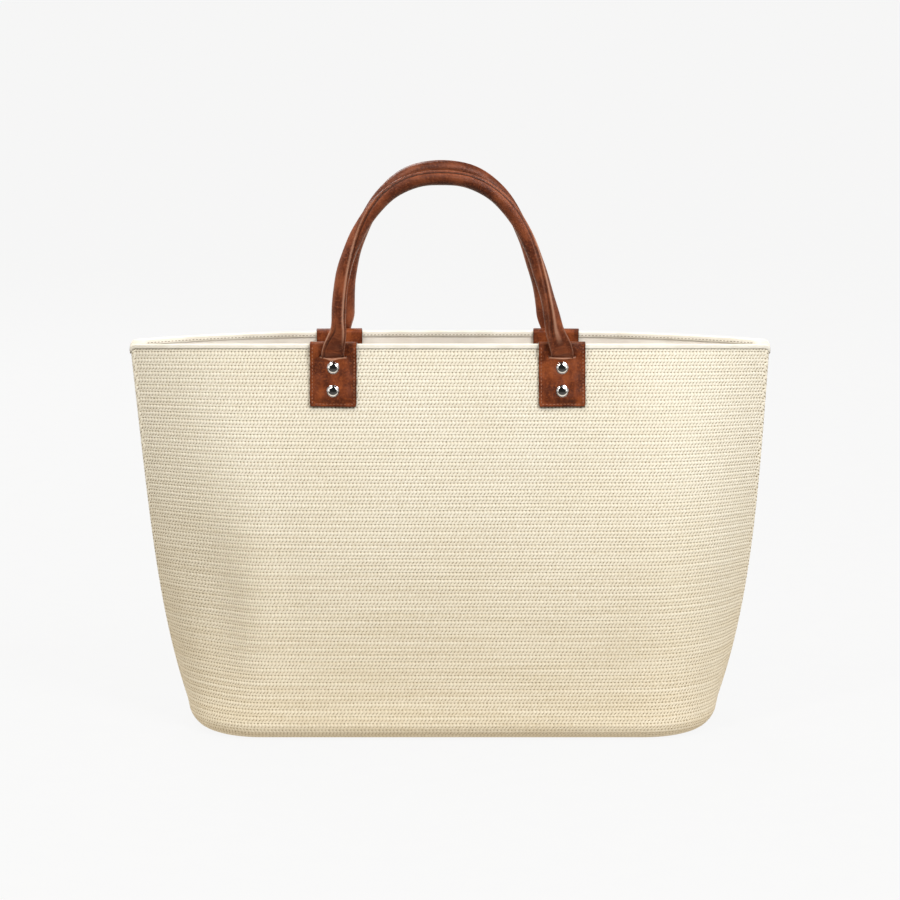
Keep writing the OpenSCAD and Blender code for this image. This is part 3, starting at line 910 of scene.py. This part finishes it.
# %% Finish of the leather
def make_leather(name, dark, brown, warm, pale, clouds):
    finish, tree, shader = start_finish(name)
    chart = cloth_map(tree, "hide")
    broad = noise(tree, stretched(tree, chart, 1.0, 0.55, 1.0), clouds, 3.0, 0.6)
    flecks = noise(tree, chart, 5.5, 4.0, 0.65)
    grain_node = tree.nodes.new("ShaderNodeTexVoronoi")
    feed(tree, grain_node.inputs["Vector"], chart)
    grain_node.inputs["Scale"].default_value = 11.0
    grain = grain_node.outputs["Distance"]
    colour = mix_colours(tree, fade(tree, broad, 0.38, 0.56), dark, brown)
    colour = mix_colours(tree, fade(tree, broad, 0.50, 0.66, 0.0, 0.7), colour, warm)
    colour = mix_colours(tree, fade(tree, flecks, 0.47, 0.72, 0.0, 0.85), colour, warm)
    colour = mix_colours(tree, fade(tree, flecks, 0.46, 0.28, 0.0, 0.6), colour, dark)
    tone = painted(tree, "tone")
    # pale mix: partly wear, partly painted highlight; near-black mix: dark cut edges and painted shade
    colour = mix_colours(tree, fade(tree, tone, 0.1, 1.0, 0.0, 0.8), colour, pale)
    colour = mix_colours(tree, fade(tree, tone, -0.1, -1.0, 0.0, 0.85), colour, (0.030, 0.009, 0.004))
    feed(tree, shader.inputs["Base Color"], colour)
    feed(tree, shader.inputs["Roughness"], fade(tree, flecks, 0.3, 0.7, 0.5, 0.36))
    shader.inputs["Specular IOR Level"].default_value = 0.22
    height = plus(tree, times(tree, grain, 0.6), times(tree, flecks, 1.4))
    feed(tree, shader.inputs["Normal"], bump(tree, height, 0.00022))
    return finish


tab_leather = make_leather("tab_leather", (0.085, 0.018, 0.006), (0.180, 0.040, 0.012),
                           (0.30, 0.075, 0.020), (0.52, 0.27, 0.17), 0.9)
handle_leather = make_leather("handle_leather", (0.088, 0.020, 0.008), (0.180, 0.046, 0.018),
                              (0.29, 0.082, 0.032), (0.56, 0.30, 0.20), 0.8)
print("finishes:", tab_leather.name, handle_leather.name)

# %% [markdown]
# ## The places of the tabs
# Each tab has a flat drawing board of its own: x runs along the rim, y inwards through the wall and z up
# the wall, from the point on the rim above the middle of the tab. Shapes are drawn once on that board
# and then carried to the four corners, mirrored where they need it.

# %% Measures of a tab and the way from its drawing board to the bag
tab_gap = {"front": 185, "back": 181}
side_names = {-1: "left", 1: "right"}
corners = [(face, side) for face in tab_gap for side in side_names]
tab_shift = 1.9
tab_w = 38
tab_drop = 50
tab_t = 1.3
slit_drop = 9.5
slit_w = 22
strap_w, strap_t = 18, 1.8
tab_stitch_pitch = 2.9
rivet_drop, rivet_gap = 18.5, 18.7
rivet_spots = (rivet_drop, rivet_drop + rivet_gap)
tail_middle = 0.2 + strap_t / 2
tab_face = 2.2 + tab_t
tab_back = binding_back + 0.45 + tab_t
tab_rise = binding_t + 0.8
tail_end = rivet_drop + rivet_gap + 7
fold_out = tab_face + strap_t / 2 + 0.7


def tab_frame(face):
    gap = tab_gap[face]
    share = gap / 2 / (mouth_w / 2 * (1 + edge_spread))
    rim_y, low_y = rim_point(share, 0)[1], base_point(share, 0)[1]
    lean = math.atan((rim_y - low_y) / body_h)
    yaw = math.atan(tip_slope * (gap / mouth_w) ** 2)
    return wall_point(share, body_h, 0), lean, yaw


def to_bag(face, side, points):
    """Carries points from a tab's drawing board to the bag. Side is 1 on the right and -1 on the left."""
    place, lean, yaw = tab_frame(face)
    x, y, z = np.moveaxis(np.asarray(points, float), -1, 0)
    y, z = y * math.cos(lean) + z * math.sin(lean), z * math.cos(lean) - y * math.sin(lean)
    x, y = x * math.cos(yaw) - y * math.sin(yaw), x * math.sin(yaw) + y * math.cos(yaw)
    moved = np.stack([x, y, z], -1) + place
    return moved * (side, 1 if face == "front" else -1, 1) - (tab_shift, 0, 0)


fold = {face: to_bag(face, 1, (0, -fold_out, -slit_drop)) for face in tab_gap}
for face, point in fold.items():
    print(face, "handle folds at", [round(float(v), 2) for v in point])

# %% [markdown]
# ## Leather tabs
# A tab is a strip of leather folded over the rim and riveted through the bag. The handle's flat end is
# under its front, so the leather rises over it and comes down to the straw at its sewn edges. The handle
# comes out through a slit whose lower lip is pushed forwards. The strip is a grid with one row of
# faces left out for the slit. A Solidify modifier gives it thickness, and a Bevel rounds the cut edges.

# %% The strip's path over the rim
def path_length(path):
    steps = np.linalg.norm(np.diff(path, axis=0), axis=1)
    return np.concatenate([[0], np.cumsum(steps)])


leg_middle = tab_face - tab_t / 2
back_middle = tab_back - tab_t / 2
fold_top = tab_rise + tab_t / 2
bend_r = 1.65


def strip_path():
    """Places (y, z) along the middle of the leather, from the front's lower edge to the back's."""
    front = [(-leg_middle, z) for z in np.arange(-tab_drop, fold_top - bend_r, 0.7)]
    arc = np.linspace(0, math.pi / 2, 5)
    rise = [(-leg_middle + bend_r * (1 - math.cos(a)), fold_top - bend_r * (1 - math.sin(a))) for a in arc]
    flat = [(y, fold_top) for y in np.linspace(-leg_middle + bend_r, back_middle - bend_r, 6)[1:-1]]
    fall = [(back_middle - bend_r * (1 - math.sin(a)), fold_top - bend_r * (1 - math.cos(a))) for a in arc]
    back = [(back_middle, z) for z in np.arange(fold_top - bend_r, -tab_drop, -1.4)[1:]]
    return np.array(front + rise + flat + fall + back + [(back_middle, -tab_drop)])


# %% Relief of the leather: over the handle's end, round the rivets and at the slit
def tab_relief(x, z, dip):
    """How far the front stands in from its flat place, and how far the slit's lips part.

    The dip is how far the lower lip sags in its middle, in millimetres."""
    over_tail = (1 - smooth((np.abs(x) - strap_w / 2) / 7.5)) * smooth((z + tail_end + 3.5) / 5)
    settle = 1.75 * (1 - over_tail) * smooth((-z - 5) / 9)
    dimple = sum(0.45 * np.exp(-((x**2 + (z + spot) ** 2) / 30)) for spot in rivet_spots)
    wave = 0.12 * np.sin(x * 0.45 + z * 0.21) + 0.10 * np.sin(x * 0.23 - z * 0.52)
    open_share = np.clip(1 - (np.abs(x) / (slit_w / 2)) ** 2, 0, 1)
    below = np.exp(-np.maximum(-slit_drop - z, 0) / 2.6) * (z < -slit_drop) * open_share
    above = np.exp(-np.maximum(z + slit_drop, 0) / 2.2) * (z > -slit_drop) * open_share
    inwards = settle + dimple + wave - 1.0 * below + 0.9 * above
    drop = 0.9 * below + dip * below * np.exp(-((x - 1) / 4.0) ** 2) - 0.5 * above
    return inwards, drop


def make_tab(face, side):
    path = strip_path()
    columns = np.linspace(-tab_w / 2, tab_w / 2, 55)
    y0, z0 = (np.broadcast_to(path[:, i, None], (len(path), len(columns))) for i in (0, 1))
    x = np.broadcast_to(columns[None, :], y0.shape)
    front = y0 < 0
    dip = 2.0 if (face == "front" and side < 0) else 0.4
    inwards, drop = tab_relief(x, z0, dip)
    on_back = smooth((y0 - 2) / 2) * smooth((-z0 - 6) / 6) * smooth((np.abs(x) - 9) / 8)
    y = y0 + np.where(front, inwards * (z0 < 0.5), -0.55 * on_back)
    z = z0 - np.where(front, drop, 0)
    corner = smooth((-z0 - tab_drop + 3) / 3) * 0.6
    scallop = 0.10 * np.cos(z0 * 2 * math.pi / tab_stitch_pitch)
    x = x * (1 - (corner * smooth((np.abs(x) - 12) / 7) - scallop * (np.abs(x) > 18)) / 19)
    points = np.stack([x, y, z], -1)
    rows, cols = x.shape
    slit_row = int(np.argmin(np.abs(path[: len(path) // 2, 1] + slit_drop)))
    faces = [(i * cols + j, i * cols + j + 1, (i + 1) * cols + j + 1, (i + 1) * cols + j)
             for i in range(rows - 1) for j in range(cols - 1)
             if not (i == slit_row and abs(columns[j] + columns[j + 1]) < slit_w)]
    tab = make_piece(f"{face}_{side_names[side]}_leather_tab", to_bag(face, side, points), faces,
                     tab_leather)
    length = path_length(path)
    patch = 11.3 * side + (31.7 if face == "back" else 0)
    chart = np.broadcast_arrays(columns[None, :] / 10 + patch, length[:, None] / 10)
    lay_map(tab, "hide", np.stack(chart, -1))
    to_end = np.minimum(length, length[-1] - length)[:, None]
    to_edge = np.minimum(tab_w / 2 - np.abs(columns)[None, :], to_end)
    lip = np.exp(-((z0 + slit_drop + 0.7) / 0.55) ** 2) * (np.abs(x) < slit_w / 2) * front
    # painted shade: darker leather round each rivet on the front
    rivet_shade = sum(np.exp(-(((x**2 + (z0 + spot) ** 2) / 34) ** 3)) for spot in rivet_spots)
    # painted highlight along the fold over the rim
    at_fold = np.exp(-((z0 - fold_top + 0.6) / 0.9) ** 2) * (y0 < 0)
    tone = 0.9 * lip + 0.35 * at_fold - 0.9 * np.exp(-to_edge / 0.6) - 0.45 * rivet_shade * front
    paint(tab, "tone", tone)
    solid = tab.modifiers.new("thickness", "SOLIDIFY")
    solid.thickness = tab_t * MM
    solid.offset = 0
    soften = tab.modifiers.new("soft_edges", "BEVEL")
    soften.width = 0.32 * MM
    soften.segments = 2
    soften.limit_method = "ANGLE"
    soften.angle_limit = math.radians(55)
    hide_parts(f"{face}_{side_names[side]}_tab")
    return tab


for face, side in corners:
    print(make_tab(face, side).name)


# %% [markdown]
# ## Stitches on the tabs
# A row of tan thread runs two millimetres inside the edge, down both sides and across the foot. Each
# stitch is a small bead, sunk halfway into the leather, so that the row catches light and shade.

# %% Sew the tabs
tab_thread = make_tape("tan_thread", (0.40, 0.17, 0.095), (0.27, 0.105, 0.055), 5000.0)


def sew_tab(face, side):
    inset_x = tab_w / 2 - 2.0
    foot = -tab_drop + 2.0
    zs = np.arange(foot + 1.6, -1.0, tab_stitch_pitch)
    xs = np.arange(-inset_x + 1.6, inset_x - 1.2, tab_stitch_pitch)
    places = [(s * inset_x, z) for s in (-1, 1) for z in zs] + [(x, foot) for x in xs]
    places = np.array(places)
    alongs = np.array([(0, 0, 1.0)] * (2 * len(zs)) + [(1.0, 0, 0)] * len(xs))
    inwards, drop = tab_relief(places[:, 0], places[:, 1], 0.4)
    y = -tab_face + inwards + 0.02
    spots = to_bag(face, side, np.stack([places[:, 0], y, places[:, 1] - drop], -1))
    origin = to_bag(face, side, (0, 0, 0))
    along = to_bag(face, side, alongs) - origin
    up = np.broadcast_to(to_bag(face, side, (0, -1, 0)) - origin, along.shape)
    return sew(f"{face}_{side_names[side]}_tab_stitches", spots, along, up, (2.1, 0.75, 0.6), tab_thread)


for face, side in corners:
    print(sew_tab(face, side).name)

# %% [markdown]
# ## Chrome rivets
# Two double-cap rivets hold each tab. The head is a dome on a thin flange and is turned from a half
# profile, as on a lathe. Chrome is a smooth metal that shows what is around it, so most of its look is
# the bright sides and near floor of the studio against the dark in front. Inside the bag a flatter cap
# closes each rivet.

# %% Finish of the chrome
def make_chrome():
    finish, tree, shader = start_finish("rivet_chrome")
    wear = noise(tree, body_place(tree), 2600.0, 3.0)
    shader.inputs["Base Color"].default_value = (0.80, 0.81, 0.83, 1)
    shader.inputs["Metallic"].default_value = 1.0
    feed(tree, shader.inputs["Roughness"], fade(tree, wear, 0.3, 0.8, 0.05, 0.12))
    return finish


chrome = make_chrome()


# %% Turn the rivets
def turned(profile, around=40):
    """Rings of points round the y axis. The profile lists each ring's radius and its distance out."""
    angle = np.linspace(0, 2 * math.pi, around, endpoint=False)
    return np.array([[(r * math.cos(a), -out, r * math.sin(a)) for a in angle] for r, out in profile])


def dome(radius, height, flange, thick):
    arc = np.linspace(0.0, 1.0, 12)
    crown = [(radius * math.cos(a * math.pi / 2), thick + height * math.sin(a * math.pi / 2) ** 0.9)
             for a in arc]
    crown[-1] = (0.02, thick + height)
    under = [(0.02, 0.0), (flange - 0.15, 0.0), (flange, thick * 0.5), (flange - 0.15, thick)]
    return under + [(radius + 0.1, thick)] + crown


def make_rivets(face, side, inside):
    face_y = tab_back + 0.03 if inside else -tab_face
    profile = dome(3.9, 1.0, 4.5, 0.35) if inside else dome(4.35, 1.75, 5.0, 0.45)
    rings = turned(profile)
    points, faces = [], []
    for drop in rivet_spots:
        sunk = 0.25 if not inside else 0.0
        spot = rings * (1, -1 if inside else 1, 1) + (0, face_y + sunk, -drop)
        start = sum(len(p) for p in points)
        points.append(to_bag(face, side, spot).reshape(-1, 3))
        faces += [tuple(start + k for k in f) for f in ring_faces(len(rings), rings.shape[1], False)]
    kind = "rivet_caps" if inside else "rivets"
    rivets = make_piece(f"{face}_{side_names[side]}_chrome_{kind}", np.concatenate(points), faces,
                        chrome)
    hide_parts(f"{face}_{side_names[side]}_{kind}")
    return rivets


for face, side in corners:
    for inside in (False, True):
        print(make_rivets(face, side, inside).name)

# %% [markdown]
# ## Rolled handles
# Each handle is one strap of leather. Its flat ends lie under the tabs, come out through the slits, curl up
# and close round a cord to make the grip, and a raised seam wanders along the roll. A sweep makes this in
# one piece: the section starts as a flat strap and turns round as it climbs, and the seam is a bump on
# the section whose angle changes slowly along the way. The strap is blended from its place under the tab
# to the line of the handle over the few millimetres where the real leather bends at the slit.

# %% The line of a handle
arch_h, arch_side_power = 145, 0.84
arch_w = {"front": 176, "back": 167}
grip_lean = 5
grip_out = 2.5
fold_y = {face: float(point[1]) for face, point in fold.items()}
fold_z = {face: float(point[2]) for face, point in fold.items()}


def arch_line(face, angle):
    """Places from the right fold over to the left one, for an angle from 0 to half a turn."""
    c, s = np.cos(angle), np.sin(angle)
    half_gap = float(fold[face][0]) + tab_shift
    half_w = arch_w[face] / 2
    z = s * arch_h
    x = np.abs(c) ** arch_side_power * half_w + (half_gap - half_w) * (1 - smooth(z / 25))
    x = np.sign(c) * x - grip_lean * smooth(z / 79)
    return np.stack([x, -grip_out * smooth(z / 14), z], -1) + (-tab_shift, -abs(fold_y[face]), fold_z[face])


def handle_line(face):
    """Middle line of a whole handle with its height above the fold, both ends under the tabs."""
    angle = (1 - np.cos(np.linspace(0, math.pi, 1501))) / 2 * math.pi
    arch = arch_line(face, angle)
    rise = arch[:, 2] - fold_z[face]
    below = np.arange(slit_drop - tail_end, 0, 0.25)
    tail = np.stack([0 * below, 0 * below - fold_out, below - slit_drop], -1)
    flip = (1, 1 if face == "front" else -1, 1)
    right, left = to_bag(face, 1, tail) * flip, to_bag(face, -1, tail) * flip
    line = np.concatenate([right, arch[1:-1], left[::-1]])
    climb = np.concatenate([below, rise[1:-1], below[::-1]])
    under = (fold_out - tail_middle) * (1 - smooth((climb + 3.75) / 7.5))
    line[:, 1] += under
    return line, climb, path_length(line)


# %% Stations: close together at the slits, wider apart over the arch
def handle_stations(length, climb):
    """Distances along the strap at which it gets a ring of points."""
    total = length[-1]
    marks = [0.0]
    while marks[-1] < total:
        near = np.interp(marks[-1], length, climb)
        marks.append(marks[-1] + (0.8 if -8 < near < 48 else 2.4))
    marks[-1] = total
    return np.array(marks)


def wander(share):
    """Angle of the seam round the roll, from the right end to the left one. Outwards is above nothing."""
    turn = 74 * smooth((share - 0.08) / 0.30) - 108 * smooth((share - 0.55) / 0.25)
    return np.radians(turn)


# %% Sweep a handle
ring_points = 48
grip_r = 5.75


def make_handle(face):
    line, climb, length = handle_line(face)
    marks = handle_stations(length, climb)
    middle = np.stack([np.interp(marks, length, line[:, k]) for k in range(3)], -1)
    rise = np.interp(marks, length, climb)
    share = marks / length[-1]
    ahead = np.gradient(middle, marks, axis=0)
    ahead /= np.linalg.norm(ahead, axis=1)[:, None]
    forwards = np.array([0, -1.0, 0]) - ahead * (-ahead[:, 1:2])
    forwards /= np.linalg.norm(forwards, axis=1)[:, None]
    across = np.cross(ahead, forwards)

    on_left = smooth((share - 0.45) / 0.1)
    roll_height = 50 - (18 if face == "front" else 32) * on_left
    wide = grip_r + (strap_w / 2 - grip_r) * (1 - smooth(rise / roll_height))
    thick = grip_r + (strap_t / 2 - grip_r) * (1 - smooth((rise - 5) / (roll_height - 8)))
    square = 0.42 + 0.58 * smooth((rise - 2) / 30)

    phi = np.linspace(-math.pi, math.pi, ring_points, endpoint=False)[None, :]
    sine, cosine = np.sin(phi), np.cos(phi)
    aside = np.sign(sine) * np.abs(sine) ** square[:, None]
    out = np.sign(cosine) * np.abs(cosine) ** square[:, None]

    seam = wander(share)[:, None]
    off = phi - seam
    strength = smooth((rise - 3) / 20)[:, None]
    crest = np.exp(-((off / 0.20) ** 2)) * strength
    furrow = np.exp(-(((off + 0.34) / 0.13) ** 2)) * strength
    on_strap = (smooth((rise + 6) / 8) * (1 - smooth((rise - 16) / 22)))[:, None]
    lean_way = on_left[:, None] if face == "front" else 0 * on_left[:, None]
    curl = (np.exp(-(((phi - 1.05) / 0.25) ** 2)) + np.exp(-(((phi + 1.05) / 0.25) ** 2))) * on_strap
    curl = curl * (1 + 0.8 * lean_way * (phi > 0))
    crease_at = 0.72 - 0.35 * smooth(rise / 26)[:, None]
    crease = np.exp(-(((phi - crease_at) / 0.17) ** 2)) * on_strap * lean_way
    second = np.exp(-(((off + 0.62) / 0.13) ** 2)) * strength * 0.7
    cross = np.sin(marks * 0.9 + 2 * np.sin(marks * 0.13))[:, None] * np.exp(-((phi / 1.2) ** 2))
    relief = 0.75 * crest - 0.60 * furrow + 0.40 * second + 0.55 * curl - 0.75 * crease + 0.06 * cross
    relief = relief + 0.10 * np.sin(marks * 0.21 + 1.3)[:, None] * np.cos(2 * phi)

    x = aside * wide[:, None] + relief * sine
    y = out * thick[:, None] + relief * cosine
    rings = middle[:, None] + across[:, None] * x[..., None] + forwards[:, None] * y[..., None]
    if face == "back":
        rings = rings * (1, -1, 1)
    handle = make_piece(face + "_handle_strap", rings, ring_faces(len(rings), ring_points, False),
                        handle_leather, body=None)
    girth = phi * grip_r / 10
    chart = np.stack(np.broadcast_arrays(girth, marks[:, None] / 10 + (60 if face == "back" else 0)), -1)
    lay_map(handle, "hide", chart)
    # painted shade: darker in the furrow and crease, where the strap enters its slit and on the sides of
    # the roll
    mouth = np.exp(-((rise + 1.5) / 2.0) ** 2)[:, None]
    roll_side_shade = smooth((np.abs(phi) - 1.25) / 0.5) * (1 - smooth((np.abs(phi) - 1.9) / 0.5))
    # paler crest, second ridge and curled edges: partly wear and partly painted highlight
    wear_and_highlight = 0.85 * crest + 0.6 * second + 0.5 * curl
    dark = 0.9 * furrow + 0.9 * crease + 0.45 * mouth + 0.05 * roll_side_shade
    # painted shade: the top of the grip is darker
    tone = wear_and_highlight - dark - 0.42 * smooth((rise - 80) / 60)[:, None]
    paint(handle, "tone", tone)
    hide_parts(face + "_handle_leather", face + "_handle_left_tail",
                face + "_handle_right_tail")
    y, z = (-1 if face == "front" else 1) * abs(fold_y[face]) * MM, fold_z[face] * MM
    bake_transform(handle)
    return handle


for face in tab_gap:
    handle = make_handle(face)
    print(handle.name, len(handle.data.polygons), "faces")

# %% [markdown]
# ## Cord in the grips
# Inside the roll is a soft cord that keeps it round. It stays out of sight, so the measured solid keeps its
# shape and only gets a finish of twisted cotton.

# %% Finish the cords
cord_finish = make_tape("twisted_cord", (0.80, 0.74, 0.62), (0.62, 0.55, 0.43), 900.0)
for face in tab_gap:
    refinish(face + "_handle_core", cord_finish)
print("cords finished")
